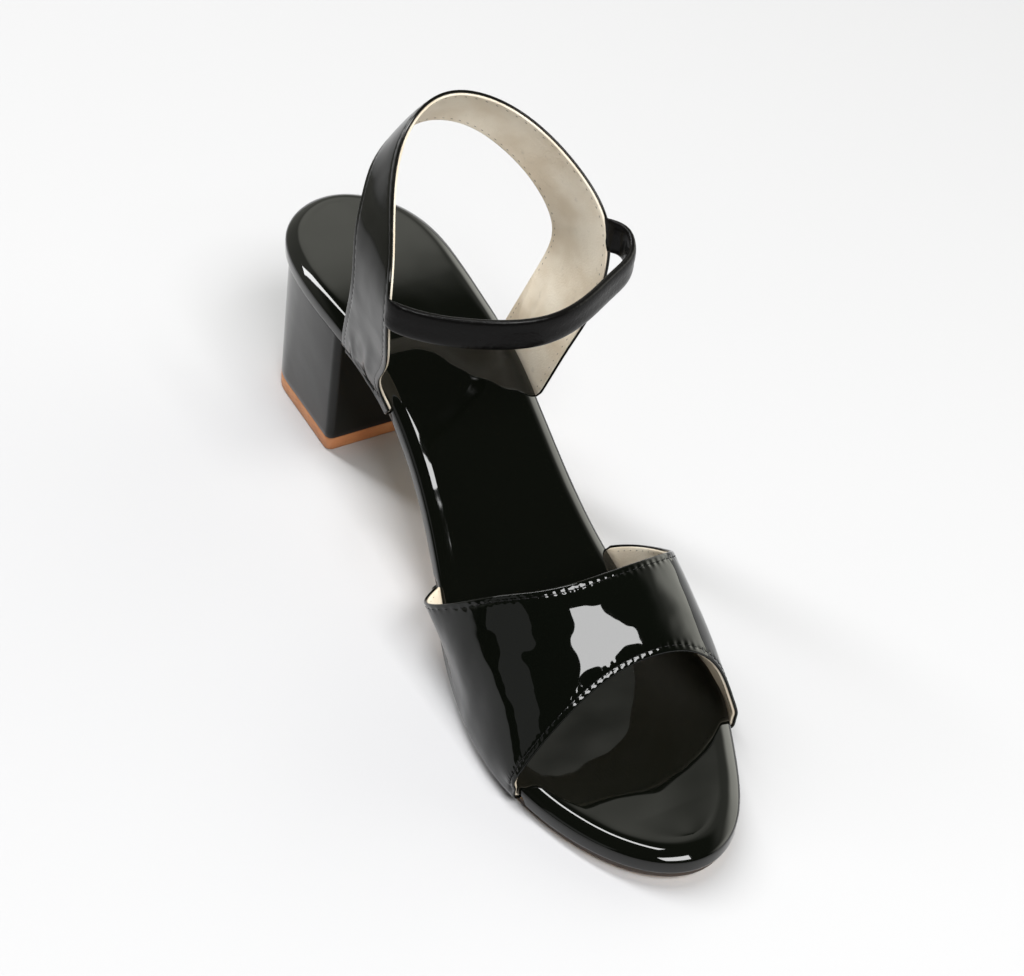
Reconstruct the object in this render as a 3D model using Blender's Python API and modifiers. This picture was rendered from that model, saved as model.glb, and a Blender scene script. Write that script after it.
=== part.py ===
"""Block heel sandal, left shoe: footbed, outsole, block heel, front strap and ankle straps.

The shoe stands on the floor at z = 0 with its toe toward -Y and its outer side toward +X.
The origin is the middle of the heel's floor face. Sizes are in metres.
A station is a share of the footbed's length, 0 at the back of the heel and 1 at the toe tip.
"""
import math

import bmesh
import bpy
import numpy as np

# Footbed and outsole
footbed_length = 0.2430
ball_half_width = 0.0385
seat_height = 0.0661
footbed_thickness = 0.0073
footbed_crown = 0.0010
rim_radius = 0.0032
under_radius = 0.0012
outsole_thickness = 0.0024
outsole_inset = 0.0015
outsole_bevel = 0.0005
toe_spring = 0.0032

# Heel block and top piece
heel_top_length = 0.0560
heel_breast_slope = 0.0090
heel_back_rake = 0.0010
heel_overhang = 0.0015
heel_side_taper = 0.0036
heel_corner_radius = 0.0025
heel_top_rounding = 0.0270
heel_floor_rounding = 0.0150
top_piece_thickness = 0.0055

# Straps
strap_thickness = 0.0016
tuck_length = 0.0090
vamp_rise = 0.0425
vamp_camber = 0.0012
ankle_half_width = 0.0365
ankle_rise = 0.0763
ankle_camber = 0.0004
instep_strap_width = 0.0100
instep_strap_thickness = 0.0028
instep_strap_lap = 0.0035

# Room between neighbours
gap = 0.0003
seat_ease = 0.0015

# Footbed outline: station, inner and outer half widths as shares of ball_half_width
OUTLINE = np.array([
    (0.015, 0.305, 0.290),
    (0.050, 0.520, 0.510),
    (0.120, 0.655, 0.650),
    (0.240, 0.630, 0.655),
    (0.360, 0.515, 0.700),
    (0.480, 0.555, 0.735),
    (0.600, 0.745, 0.835),
    (0.700, 0.910, 0.975),
    (0.780, 0.955, 0.990),
    (0.860, 0.870, 0.795),
    (0.930, 0.680, 0.550),
    (0.975, 0.450, 0.315),
])
# Station and across share of the toe's tip
TOE_TIP = (1.000, -0.065)

# Stations between which the tread lies flat on the floor
TREAD_STATIONS = (0.67, 0.78)

# Height of the footbed's top: station, rise as a share from tread to seat
PROFILE = np.array([
    (0.00, 1.012),
    (0.06, 1.004),
    (0.14, 1.000),
    (0.20, 0.982),
    (0.27, 0.923),
    (0.34, 0.800),
    (0.41, 0.605),
    (0.48, 0.398),
    (0.54, 0.228),
    (0.60, 0.085),
    (0.64, 0.018),
    (TREAD_STATIONS[0], 0.0),
    (TREAD_STATIONS[1], 0.0),
    (1.00, 0.0),
])

# Where each strap passes over the footbed's edge: side, rear station, front station
VAMP_SEATS = {"inner": (0.548, 0.822), "outer": (0.568, 0.842)}
ANKLE_SEATS = {"inner": (0.268, 0.362), "outer": (0.297, 0.391)}

# Front strap from the inner to the outer side, rear edge and then front edge.
# Across in ball_half_width, station, and rise above the tread's footbed in vamp_rise.
VAMP = np.array([
    (-0.875, 0.572, 0.330, -0.955, 0.823, 0.035),
    (-0.860, 0.628, 0.610, -0.870, 0.820, 0.165),
    (-0.675, 0.665, 0.812, -0.675, 0.814, 0.353),
    (-0.390, 0.698, 0.941, -0.365, 0.805, 0.541),
    (0.000, 0.711, 1.000, 0.000, 0.802, 0.659),
    (0.390, 0.709, 0.976, 0.390, 0.810, 0.659),
    (0.675, 0.696, 0.870, 0.655, 0.822, 0.470),
    (0.835, 0.659, 0.635, 0.795, 0.834, 0.200),
    (0.870, 0.605, 0.380, 0.865, 0.842, 0.020),
])

# Back strap from the inner to the outer side, front edge and then rear edge.
# Across in ankle_half_width, station, and rise above the seat in ankle_rise.
ANKLE = np.array([
    (-0.620, 0.354, -0.120, -0.667, 0.264, -0.078),
    (-0.773, 0.397, 0.142, -0.827, 0.312, 0.258),
    (-0.893, 0.426, 0.400, -0.880, 0.333, 0.497),
    (-0.920, 0.430, 0.587, -0.827, 0.318, 0.626),
    (-0.800, 0.397, 0.690, -0.693, 0.291, 0.703),
    (-0.533, 0.322, 0.858, -0.493, 0.260, 0.755),
    (-0.240, 0.283, 0.968, -0.213, 0.236, 0.794),
    (0.080, 0.270, 1.000, 0.053, 0.229, 0.806),
    (0.453, 0.287, 0.955, 0.320, 0.244, 0.787),
    (0.775, 0.331, 0.845, 0.570, 0.269, 0.710),
    (0.990, 0.388, 0.690, 0.773, 0.306, 0.594),
    (1.020, 0.421, 0.555, 0.907, 0.326, 0.439),
    (0.970, 0.430, 0.310, 0.910, 0.318, 0.258),
    (0.805, 0.417, 0.026, 0.775, 0.308, 0.052),
])

# Instep strap's centre line between its two laps, in the same shares as the back strap
INSTEP = np.array([
    (-0.740, 0.461, 0.490),
    (-0.370, 0.500, 0.495),
    (0.041, 0.523, 0.508),
    (0.425, 0.514, 0.520),
    (0.767, 0.490, 0.530),
    (1.010, 0.470, 0.535),
    (1.100, 0.452, 0.547),
    (1.103, 0.434, 0.565),
])
# Where the laps lie on the back strap: row of ANKLE, inner and outer
INSTEP_LAP_ROWS = (2.55, 10.92)

outline_rows = 50
cap_columns = 5

tread_top = footbed_thickness + gap + outsole_thickness
seat_recess = strap_thickness + gap
edge_thickness = footbed_thickness - seat_recess
heel_floor_length = heel_top_length - heel_breast_slope - heel_back_rake
heel_back = heel_floor_length / 2 + heel_overhang + heel_back_rake


def hermite(knots, values, at, slopes):
    """Cubic through values at knots with the given slopes, worked out for every entry of at."""
    span = np.clip(np.searchsorted(knots, at, side="right") - 1, 0, len(knots) - 2)
    width = knots[span + 1] - knots[span]
    share = (at - knots[span]) / width
    if values.ndim > 1:
        extra = (1,) * (values.ndim - 1)
        share, width = share.reshape(-1, *extra), width.reshape(-1, *extra)
    start = (1 + 2 * share) * (1 - share) ** 2 * values[span]
    start = start + share * (1 - share) ** 2 * width * slopes[span]
    end = share ** 2 * (3 - 2 * share) * values[span + 1]
    return start + end + share ** 2 * (share - 1) * width * slopes[span + 1]


def level_slopes(knots, values):
    """Slopes that keep level stretches level and never overshoot a value."""
    steps = np.diff(values) / np.diff(knots)
    product = steps[:-1] * steps[1:]
    total = steps[:-1] + steps[1:]
    total = np.where(product > 0, total, 1)
    middle = np.where(product > 0, 2 * product / total, 0)
    return np.concatenate([[steps[0]], middle, [0]])


def even_slopes(knots, values):
    """Slopes through each value's two neighbours."""
    return np.gradient(values, knots, axis=0)


def outline_curve():
    """Knots and x values of the closed outline against its angle, twice round at the ends."""
    angles = np.arccos(1 - 2 * OUTLINE[:, 0])
    knots = np.concatenate([[0], angles, [math.pi], 2 * math.pi - angles[::-1]])
    across = np.concatenate([[0], OUTLINE[:, 2], [TOE_TIP[1]], -OUTLINE[::-1, 1]])
    knots = np.concatenate([knots[-3:] - 2 * math.pi, knots, knots[:3] + 2 * math.pi])
    across = np.concatenate([across[-3:], across, across[:3]])
    return knots, across * ball_half_width


OUTLINE_KNOTS, OUTLINE_ACROSS = outline_curve()
OUTLINE_SLOPES = even_slopes(OUTLINE_KNOTS, OUTLINE_ACROSS)


def outline_point(angle):
    """Plan point on the footbed's outline, 0 at the heel's back, pi at the toe, outer side first."""
    across = hermite(OUTLINE_KNOTS, OUTLINE_ACROSS, angle, OUTLINE_SLOPES)
    along = heel_back - footbed_length * (1 - np.cos(angle)) / 2
    return np.stack([across, along], axis=-1)


def outline_inward(angle):
    """Unit plan normal that points into the footbed at an outline angle."""
    step = 0.01
    run = outline_point(angle + step) - outline_point(angle - step)
    inward = np.stack([run[..., 1], -run[..., 0]], axis=-1)
    return inward / np.linalg.norm(inward, axis=-1, keepdims=True)


def side_angle(side, station):
    """Outline angle at a station on the inner or outer side."""
    angle = np.arccos(1 - 2 * np.asarray(station))
    return angle if side == "outer" else 2 * math.pi - angle


def top_height(station):
    """Height of the footbed's top: the profile table and a parabola for the toe spring."""
    slopes = level_slopes(PROFILE[:, 0], PROFILE[:, 1])
    rise = hermite(PROFILE[:, 0], PROFILE[:, 1], np.clip(station, 0, 1), slopes)
    beyond = np.clip((station - TREAD_STATIONS[1]) / (1 - TREAD_STATIONS[1]), 0, 1)
    return tread_top + (seat_height - tread_top) * rise + toe_spring * beyond ** 2


def place(plan, depth):
    """Point below the footbed's top, measured square to the top's long section."""
    station = (heel_back - plan[..., 1]) / footbed_length
    step = 0.001
    fall = (top_height(station + step) - top_height(station - step)) / (2 * step * footbed_length)
    size = np.sqrt(1 + fall ** 2)
    along = plan[..., 1] - depth * fall / size
    up = top_height(station) - depth / size
    return np.stack([plan[..., 0], along, up], axis=-1)


def edge_points(angle, inset, depth):
    """Points at an inset from the outline and a depth below the top."""
    angle = np.asarray(angle, dtype=float)
    plan = outline_point(angle) + outline_inward(angle) * np.asarray(inset)[..., None]
    return place(plan, depth)


def seat_marks():
    """Stations where the recesses for the straps start and end."""
    ease = seat_ease / footbed_length
    marks = []
    for rear, front in [*VAMP_SEATS.values(), *ANKLE_SEATS.values()]:
        marks += [rear - 2 * ease, rear - ease, front + ease, front + 2 * ease]
    return np.array(marks)


def rim_stations():
    """Stations of the outline rows, close together at both ends and at the recess marks."""
    even = (1 - np.cos(np.linspace(0, math.pi, outline_rows + 1))) / 2
    marks = seat_marks()
    apart = np.abs(even[:, None] - marks).min(axis=1) > seat_ease / footbed_length
    return np.unique(np.concatenate([even[apart], marks]))


def recess_share(side, station):
    """1 where a strap lies under the footbed's edge, 0 elsewhere, with a short ramp."""
    ease = seat_ease / footbed_length
    share = np.zeros_like(station)
    for rear, front in (VAMP_SEATS[side], ANKLE_SEATS[side]):
        opening = np.clip((station - rear + 2 * ease) / ease, 0, 1)
        closing = np.clip((front + 2 * ease - station) / ease, 0, 1)
        share = np.maximum(share, opening * closing)
    return share


def make_material(name, colour, roughness):
    """Principled material with a colour and a roughness."""
    material = bpy.data.materials.new(name)
    material.use_nodes = True
    shader = material.node_tree.nodes["Principled BSDF"]
    shader.inputs["Base Color"].default_value = (*colour, 1)
    shader.inputs["Roughness"].default_value = roughness
    shader.inputs["Metallic"].default_value = 0
    material.diffuse_color = (*colour, 1)
    return material


def make_object(name, vertices, faces, material, collection):
    """Mesh object with outward faces."""
    mesh = bpy.data.meshes.new(name)
    mesh.from_pydata([tuple(vertex) for vertex in vertices], [], faces)
    part = bpy.data.objects.new(name, mesh)
    collection.objects.link(part)
    mesh.materials.append(material)
    shell = bmesh.new()
    shell.from_mesh(mesh)
    bmesh.ops.recalc_face_normals(shell, faces=shell.faces)
    shell.to_mesh(mesh)
    shell.free()
    return part


def strip(row_a, row_b):
    """Faces between two rows of vertex numbers; a row of one number is a point."""
    if len(row_a) == 1:
        return [(row_a[0], row_b[k], row_b[k + 1]) for k in range(len(row_b) - 1)]
    if len(row_b) == 1:
        return [(row_b[0], row_a[k + 1], row_a[k]) for k in range(len(row_a) - 1)]
    return [(row_a[k], row_b[k], row_b[k + 1], row_a[k + 1]) for k in range(len(row_a) - 1)]


def ringed_solid(name, rings, last_row, crown, material, collection):
    """Closed solid of stacked rings, bottom first, with a capped bottom and top.

    Ring point 0 is one end; points i and N - i face each other; last_row lists the far end.
    The top cap rises by crown in the middle.
    """
    count = len(rings[0])
    vertices = [vertex for ring in rings for vertex in ring]
    faces = []
    for level in range(len(rings) - 1):
        low, high = level * count, (level + 1) * count
        for i in range(count):
            after = (i + 1) % count
            faces.append((low + i, low + after, high + after, high + i))
    shares = np.arange(1, cap_columns) / cap_columns
    for ring, start, height in ((rings[0], 0, 0), (rings[-1], (len(rings) - 1) * count, crown)):
        rows = [[start]]
        widest = np.abs(ring[:, 0]).max()
        for i in range(1, last_row[0]):
            near, far = ring[i], ring[count - i]
            lift = height * min(1, abs(near[0] - far[0]) / widest)
            numbers = range(len(vertices), len(vertices) + len(shares))
            for share in shares:
                rise = lift * 4 * share * (1 - share)
                vertices.append(near * (1 - share) + far * share + np.array([0, 0, rise]))
            rows.append([start + i, *numbers, start + count - i])
        rows.append([start + i for i in last_row])
        for row_a, row_b in zip(rows, rows[1:]):
            faces += strip(row_a, row_b)
    return make_object(name, vertices, faces, material, collection)


def quarter_turn(steps):
    """Angles from 0 to a quarter turn."""
    return np.linspace(0, math.pi / 2, steps + 1)


def build_footbed(material, collection):
    """Footbed: rounded rim, recesses for the straps' tucks, flat underside and crowned top."""
    stations = rim_stations()
    angle = np.concatenate([side_angle("outer", stations), side_angle("inner", stations[-2:0:-1])])
    share = np.concatenate([
        recess_share("outer", stations), recess_share("inner", stations[-2:0:-1])])
    edge = footbed_thickness - seat_recess * share
    zero = np.zeros_like(angle)
    past_tuck = tuck_length + seat_ease
    rings = [
        edge_points(angle, zero + past_tuck + seat_ease, zero + footbed_thickness),
        edge_points(angle, zero + past_tuck, edge),
    ]
    for turn in quarter_turn(2)[::-1]:
        inset = under_radius * (1 - math.cos(turn))
        rings.append(edge_points(angle, zero + inset, edge - under_radius * (1 - math.sin(turn))))
    for turn in quarter_turn(4):
        inset = rim_radius * (1 - math.cos(turn))
        rings.append(edge_points(angle, zero + inset, zero + rim_radius * (1 - math.sin(turn))))
    toe = len(stations) - 1
    return ringed_solid("footbed", rings, [toe], footbed_crown, material, collection)


def heel_plan(half_width, length, back, rounding, columns):
    """Plan of the heel: rounded back, straight sides, a small radius and a straight breast."""
    turns = np.linspace(0, math.pi / 2, 13)
    round_x = half_width * np.sin(turns) ** 0.85
    round_y = back - rounding * (1 - np.cos(turns) ** 0.85)
    breast = back - length
    side_y = np.linspace(round_y[-1], breast + heel_corner_radius, 5)[1:]
    corner = quarter_turn(3)[1:]
    corner_x = half_width - heel_corner_radius * (1 - np.cos(corner))
    corner_y = breast + heel_corner_radius * (1 - np.sin(corner))
    half_x = np.concatenate([round_x, np.full(4, half_width), corner_x])
    half_y = np.concatenate([round_y, side_y, corner_y])
    across = np.linspace(half_x[-1], -half_x[-1], columns + 1)[1:-1]
    x = np.concatenate([half_x, across, -half_x[:0:-1]])
    y = np.concatenate([half_y, np.full(columns - 1, breast), half_y[:0:-1]])
    corner_number = len(half_x) - 1
    last_row = list(range(corner_number, corner_number + columns + 1))
    return np.stack([x, y], axis=-1), last_row


def heel_sizes():
    """Half widths of the heel at its top and at the floor."""
    seat_half_width = outline_point(side_angle("outer", np.array([0.18])))[0, 0]
    top = seat_half_width - heel_overhang
    return top, top - heel_side_taper


def heel_ring(share):
    """Plan of the heel at a share of its height, 0 at the floor and 1 under the footbed."""
    top_width, floor_width = heel_sizes()
    width = floor_width + (top_width - floor_width) * share
    length = heel_floor_length + (heel_top_length - heel_floor_length) * share
    back = heel_floor_length / 2 + heel_back_rake * share
    rounding = heel_floor_rounding + (heel_top_rounding - heel_floor_rounding) * share
    return heel_plan(width, length, back, rounding, cap_columns)


def seat_plan(columns):
    """Plan of the heel's top: the footbed's outline less the overhang, then a straight breast."""
    breast = heel_floor_length / 2 + heel_back_rake - heel_top_length
    corner_station = (heel_back - breast - heel_corner_radius) / footbed_length
    sweep = np.linspace(0, side_angle("outer", np.array([corner_station]))[0], 17)
    corner = quarter_turn(3)[1:]
    halves = []
    for angle, sign in ((sweep, 1), (2 * math.pi - sweep, -1)):
        side = outline_point(angle) + outline_inward(angle) * heel_overhang
        corner_x = side[-1, 0] - sign * heel_corner_radius * (1 - np.cos(corner))
        corner_y = breast + heel_corner_radius * (1 - np.sin(corner))
        halves.append(np.concatenate([side, np.stack([corner_x, corner_y], axis=-1)]))
    outer, inner = halves
    across = np.linspace(outer[-1], inner[-1], columns + 1)[1:-1]
    return np.concatenate([outer, across, inner[:0:-1]])


def build_heel_block(material, collection):
    """Heel block from the top piece up to the footbed's underside."""
    seat = place(seat_plan(cap_columns), footbed_thickness + gap)
    floor = top_piece_thickness + gap
    low_plan, last_row = heel_ring(floor / seat_height)
    low = np.column_stack([low_plan, np.full(len(low_plan), floor)])
    rings = [low + (seat - low) * share for share in (0, 0.25, 0.5, 0.75, 1)]
    return ringed_solid("heel_block", rings, last_row, 0, material, collection)


def build_top_piece(material, collection):
    """Top piece on the floor, flush with the heel block."""
    rings = []
    for height in (0, top_piece_thickness):
        plan, last_row = heel_ring(height / seat_height)
        rings.append(np.column_stack([plan, np.full(len(plan), height)]))
    return ringed_solid("heel_top_piece", rings, last_row, 0, material, collection)


def build_outsole(material, collection):
    """Outsole from the toe to the heel's breast, under the footbed and the straps' tucks."""
    top_depth = footbed_thickness + gap
    low_depth = top_depth + outsole_thickness
    breast = (heel_back - heel_floor_length / 2 - heel_back_rake + heel_top_length) / footbed_length
    first = breast + (gap + top_depth * 0.25) / footbed_length
    stations = rim_stations()
    stations = np.append(stations[stations > first + 0.01][::-1], first)
    outer = side_angle("outer", stations)
    inner = side_angle("inner", stations[::-1])
    rings = []
    for inset, depth in ((outsole_inset + outsole_bevel, low_depth),
                         (outsole_inset, low_depth - outsole_bevel),
                         (outsole_inset, top_depth)):
        sides = []
        for angle in (outer, inner[:-1]):
            sides.append(edge_points(angle, np.full(len(angle), inset), np.full(len(angle), depth)))
        rear = np.linspace(sides[0][-1], sides[1][0], cap_columns + 1)[1:-1]
        rings.append(np.concatenate([sides[0], rear, sides[1]]))
    corner = len(stations) - 1
    last_row = list(range(corner, corner + cap_columns + 1))
    return ringed_solid("outsole", rings, last_row, 0, material, collection)


def wrap_rows(side, seats, shares):
    """Inner face of a strap's end: the tuck, round the footbed's lower edge and up its side."""
    rear, front = seats[side]
    angle = side_angle(side, rear + (front - rear) * shares)
    turns = quarter_turn(3)[::-1]
    radius = under_radius + gap
    inset = np.concatenate([
        [tuck_length], under_radius - radius * np.cos(turns), [-gap]])
    depth = np.concatenate([
        [edge_thickness + gap], edge_thickness - under_radius + radius * np.sin(turns),
        [rim_radius * 0.6]])
    return np.stack([
        edge_points(angle, np.full(len(angle), i), np.full(len(angle), d))
        for i, d in zip(inset, depth)])


def table_points(table, half_width, base, rise):
    """World points of a table of across, station and rise shares."""
    x = table[:, 0] * half_width
    y = heel_back - table[:, 1] * footbed_length
    z = base + table[:, 2] * rise
    return np.stack([x, y, z], axis=-1)


def refine(rows, at):
    """Rows of points between control rows, at row numbers that may be fractions."""
    numbers = np.arange(len(rows), dtype=float)
    middle = rows[:, rows.shape[1] // 2] if rows.ndim == 3 else rows
    chord = np.linalg.norm(np.diff(middle, axis=0), axis=1) ** 0.5
    knots = np.concatenate([[0], np.cumsum(chord)])
    return hermite(knots, rows, np.interp(at, numbers, knots), even_slopes(knots, rows))


def surface_normals(rows):
    """Unit normals of a grid of points, along the path crossed with across it."""
    normal = np.cross(np.gradient(rows, axis=0), np.gradient(rows, axis=1))
    return normal / np.linalg.norm(normal, axis=-1, keepdims=True)


def strap_surface(edge_a, edge_b, seats, swap, camber, columns, fine):
    """Inner face of a strap with both ends wrapped round the footbed's edge."""
    shares = np.linspace(0, 1, columns)
    seat_shares = 1 - shares if swap else shares
    inner = wrap_rows("inner", seats, seat_shares)
    outer = wrap_rows("outer", seats, seat_shares)[::-1]
    free = edge_a[:, None] + (edge_b - edge_a)[:, None] * shares[:, None]
    control = np.concatenate([inner[-2:], free, outer[:2]])
    steps = np.arange(1, len(control) - 2 + 1e-9, 1 / fine)
    rows = refine(control, steps)
    rows = np.concatenate([inner[:-1], rows, outer[1:]])
    travel = np.linspace(0, 1, len(rows))
    bulge = camber * 4 * shares * (1 - shares)
    fade = np.sin(math.pi * travel) ** 2
    return rows, bulge * fade[:, None]


def outward(rows):
    """Unit normals of a strap's surface that point away from the foot."""
    normal = surface_normals(rows)
    middle = normal[len(rows) // 2, rows.shape[1] // 2]
    away = rows[len(rows) // 2, rows.shape[1] // 2] - (rows[0].mean(axis=0) + rows[-1].mean(axis=0)) / 2
    return normal if middle @ away > 0 else -normal


def grid_faces(rows, columns):
    """Quads of an open grid."""
    numbers = np.arange(rows * columns).reshape(rows, columns)
    quads = np.stack([numbers[:-1, :-1], numbers[1:, :-1], numbers[1:, 1:], numbers[:-1, 1:]], -1)
    return [tuple(int(k) for k in quad) for quad in quads.reshape(-1, 4)]


def thick_strap(name, rows, normal, material, collection):
    """Strap of even thickness on the outer side of an open surface."""
    inner, outer = rows, rows + normal * strap_thickness
    count, columns = rows.shape[:2]
    mesh_rows = rows.reshape(-1, 3)
    part = bpy.data.objects.new(name, bpy.data.meshes.new(name))
    part.data.from_pydata([tuple(v) for v in mesh_rows], [], grid_faces(count, columns))
    part.data.materials.append(material)
    collection.objects.link(part)
    part.data.update()
    facing = np.array(part.data.polygons[len(part.data.polygons) // 2].normal)
    middle = (outer - inner)[count // 2, columns // 2]
    wall = part.modifiers.new("wall", "SOLIDIFY")
    wall.thickness = strap_thickness
    wall.offset = 1 if facing @ middle > 0 else -1
    wall.use_even_offset = True
    return part


def build_vamp(material, collection):
    """Wide front strap over the toes' base."""
    base = tread_top
    rear = table_points(VAMP[:, 0:3], ball_half_width, base, vamp_rise)
    front = table_points(VAMP[:, 3:6], ball_half_width, base, vamp_rise)
    rows, bulge = strap_surface(rear, front, VAMP_SEATS, False, vamp_camber, 13, 3)
    normal = outward(rows)
    rows = rows + normal * bulge[..., None]
    return thick_strap("vamp_strap", rows, normal, material, collection)


def ankle_rows():
    """Inner face of the back strap and its outward normals."""
    front = table_points(ANKLE[:, 0:3], ankle_half_width, seat_height, ankle_rise)
    rear = table_points(ANKLE[:, 3:6], ankle_half_width, seat_height, ankle_rise)
    rows, bulge = strap_surface(front, rear, ANKLE_SEATS, True, ankle_camber, 7, 2)
    normal = outward(rows)
    return rows + normal * bulge[..., None], normal


def lap_points(row):
    """Two centre points of the instep strap's lap inside the back strap, from its deep end, and the
    upward direction of the back strap's front edge there."""
    front = table_points(ANKLE[:, 0:3], ankle_half_width, seat_height, ankle_rise)
    rear = table_points(ANKLE[:, 3:6], ankle_half_width, seat_height, ankle_rise)
    edge, above = refine(front, np.array([row, row + 0.1]))
    back = refine(rear, np.array([row]))[0]
    rising = (above - edge) * math.copysign(1, above[2] - edge[2])
    inward = (back - edge) / np.linalg.norm(back - edge)
    out = np.array([math.copysign(1, edge[0]), 0, 0]) * strap_thickness / 2
    points = np.stack([edge + inward * instep_strap_lap + out, edge + inward * gap + out])
    return points, rising / np.linalg.norm(rising)


def instep_path():
    """Centre line of the instep strap from lap to lap."""
    free = table_points(INSTEP, ankle_half_width, seat_height, ankle_rise)
    inner, inner_edge = lap_points(INSTEP_LAP_ROWS[0])
    outer, outer_edge = lap_points(INSTEP_LAP_ROWS[1])
    control = np.concatenate([inner, free, outer[::-1]])
    steps = np.linspace(0, len(control) - 1, 3 * (len(control) - 1) + 1)
    return refine(control, steps), steps / steps[-1], inner_edge, outer_edge


def build_instep(material, collection):
    """Narrow padded strap: a flat rounded section carried along the path."""
    path, travel, inner_edge, outer_edge = instep_path()
    tangent = np.gradient(path, axis=0)
    tangent = tangent / np.linalg.norm(tangent, axis=1, keepdims=True)
    near_inner = np.clip(1 - travel / 0.22, 0, 1)[:, None]
    near_outer = np.clip(1 - (1 - travel) / 0.22, 0, 1)[:, None]
    up = np.array([0, 0, 1]) * (1 - near_inner - near_outer)
    up = up + inner_edge * near_inner + outer_edge * near_outer
    up = up - tangent * (up * tangent).sum(axis=1, keepdims=True)
    up = up / np.linalg.norm(up, axis=1, keepdims=True)
    side = np.cross(tangent, up)
    ends = np.clip(np.minimum(travel, 1 - travel) / 0.14, 0, 1)
    thick = strap_thickness * 0.6 + (instep_strap_thickness - strap_thickness * 0.6) * ends
    turns = np.linspace(0, 2 * math.pi, 13)[:-1]
    wide = np.sign(np.cos(turns)) * np.abs(np.cos(turns)) ** 0.55 * instep_strap_width / 2
    deep = np.sign(np.sin(turns)) * np.abs(np.sin(turns)) ** 0.75 / 2
    rows = path[:, None] + up[:, None] * wide[:, None] + side[:, None] * (deep * thick[:, None])[..., None]
    count, around = rows.shape[:2]
    numbers = np.arange(count * around).reshape(count, around)
    after = np.roll(numbers, -1, axis=1)
    quads = np.stack([numbers[:-1], after[:-1], after[1:], numbers[1:]], -1).reshape(-1, 4)
    faces = [tuple(int(k) for k in quad) for quad in quads]
    faces += [tuple(int(k) for k in numbers[0]), tuple(int(k) for k in numbers[-1])]
    return make_object("instep_strap", rows.reshape(-1, 3), faces, material, collection)


def build_ankle_straps(material, collection, helpers):
    """Back strap with the instep strap joined to its front edge on both sides."""
    rows, normal = ankle_rows()
    part = thick_strap("ankle_straps", rows, normal, material, collection)
    instep = build_instep(material, helpers)
    instep.hide_render = True
    instep.display_type = "WIRE"
    join = part.modifiers.new("instep_strap", "BOOLEAN")
    join.operation = "UNION"
    join.solver = "EXACT"
    join.object = instep
    return part


def main():
    """Build every piece of the sandal."""
    for old in list(bpy.data.objects):
        bpy.data.objects.remove(old, do_unlink=True)
    sandal = bpy.data.collections.new("block_heel_sandal")
    helpers = bpy.data.collections.new("joined_pieces")
    bpy.context.scene.collection.children.link(sandal)
    bpy.context.scene.collection.children.link(helpers)
    patent = make_material("black_patent", (0.012, 0.013, 0.012), 0.08)
    footbed_cover = make_material("footbed_patent", (0.014, 0.015, 0.014), 0.10)
    heel_cover = make_material("heel_patent", (0.012, 0.012, 0.012), 0.16)
    tan_sole = make_material("tan_sole", (0.61, 0.35, 0.13), 0.50)
    tan_rubber = make_material("tan_rubber", (0.56, 0.21, 0.08), 0.55)
    strap_leather = make_material("strap_patent", (0.014, 0.014, 0.014), 0.12)
    build_footbed(footbed_cover, sandal)
    build_outsole(tan_sole, sandal)
    build_heel_block(heel_cover, sandal)
    build_top_piece(tan_rubber, sandal)
    build_vamp(patent, sandal)
    build_ankle_straps(strap_leather, sandal, helpers)


main()
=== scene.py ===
# %% [markdown]
# # Block heel sandal in black patent
#
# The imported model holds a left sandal: a footbed, an outsole, a block heel with its top piece, a wide front
# strap, and a back strap that is sewn to a narrow instep strap. Those solids are plain and faceted. Patent
# leather shows every facet as a break in its reflections, so each piece is worked out again here as a smooth
# surface from the same few sizes, and then given its finish.

# %% Load the frame
import math

import bpy
import numpy as np
from mathutils import Matrix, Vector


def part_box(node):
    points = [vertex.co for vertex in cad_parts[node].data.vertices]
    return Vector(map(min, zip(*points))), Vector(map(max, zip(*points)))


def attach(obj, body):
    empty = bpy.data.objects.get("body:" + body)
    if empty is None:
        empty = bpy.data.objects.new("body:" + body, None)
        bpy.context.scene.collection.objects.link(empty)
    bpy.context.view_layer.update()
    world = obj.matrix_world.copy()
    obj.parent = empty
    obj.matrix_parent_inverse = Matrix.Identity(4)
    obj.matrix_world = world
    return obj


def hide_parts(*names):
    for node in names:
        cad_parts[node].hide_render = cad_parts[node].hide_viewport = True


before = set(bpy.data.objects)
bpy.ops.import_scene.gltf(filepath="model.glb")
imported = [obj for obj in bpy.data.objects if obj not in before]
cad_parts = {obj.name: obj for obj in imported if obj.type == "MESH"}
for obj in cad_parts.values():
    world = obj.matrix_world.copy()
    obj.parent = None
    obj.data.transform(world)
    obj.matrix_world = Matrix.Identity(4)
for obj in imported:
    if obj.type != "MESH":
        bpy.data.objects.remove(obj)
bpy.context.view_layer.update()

# %% [markdown]
# ## The sandal's own sizes
#
# A shoe is drawn on a last, so everything hangs on a few numbers: length, ball width, seat height and the
# thickness of what lies under the foot. The length comes from the frame. The tables hold shares of those
# sizes, one row for each section, and they are the ones that the solids were made from.

# %% Driving sizes
footbed_low, footbed_high = (np.array(corner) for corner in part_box("footbed"))
heel_back = 0.0255
footbed_length = 0.2430
ball_half_width = 0.0385
seat_height = 0.0661
footbed_thickness = 0.0073
outsole_thickness = 0.0024
gap = 0.0003
tread_top = footbed_thickness + gap + outsole_thickness
toe_spring = 0.0032
tread_rear_station, tread_front_station = 0.67, 0.78
rim_radius = 0.0032
under_radius = 0.0012
strap_thickness = 0.0016
tuck_length = 0.0090
edge_thickness = footbed_thickness - strap_thickness - gap

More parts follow.
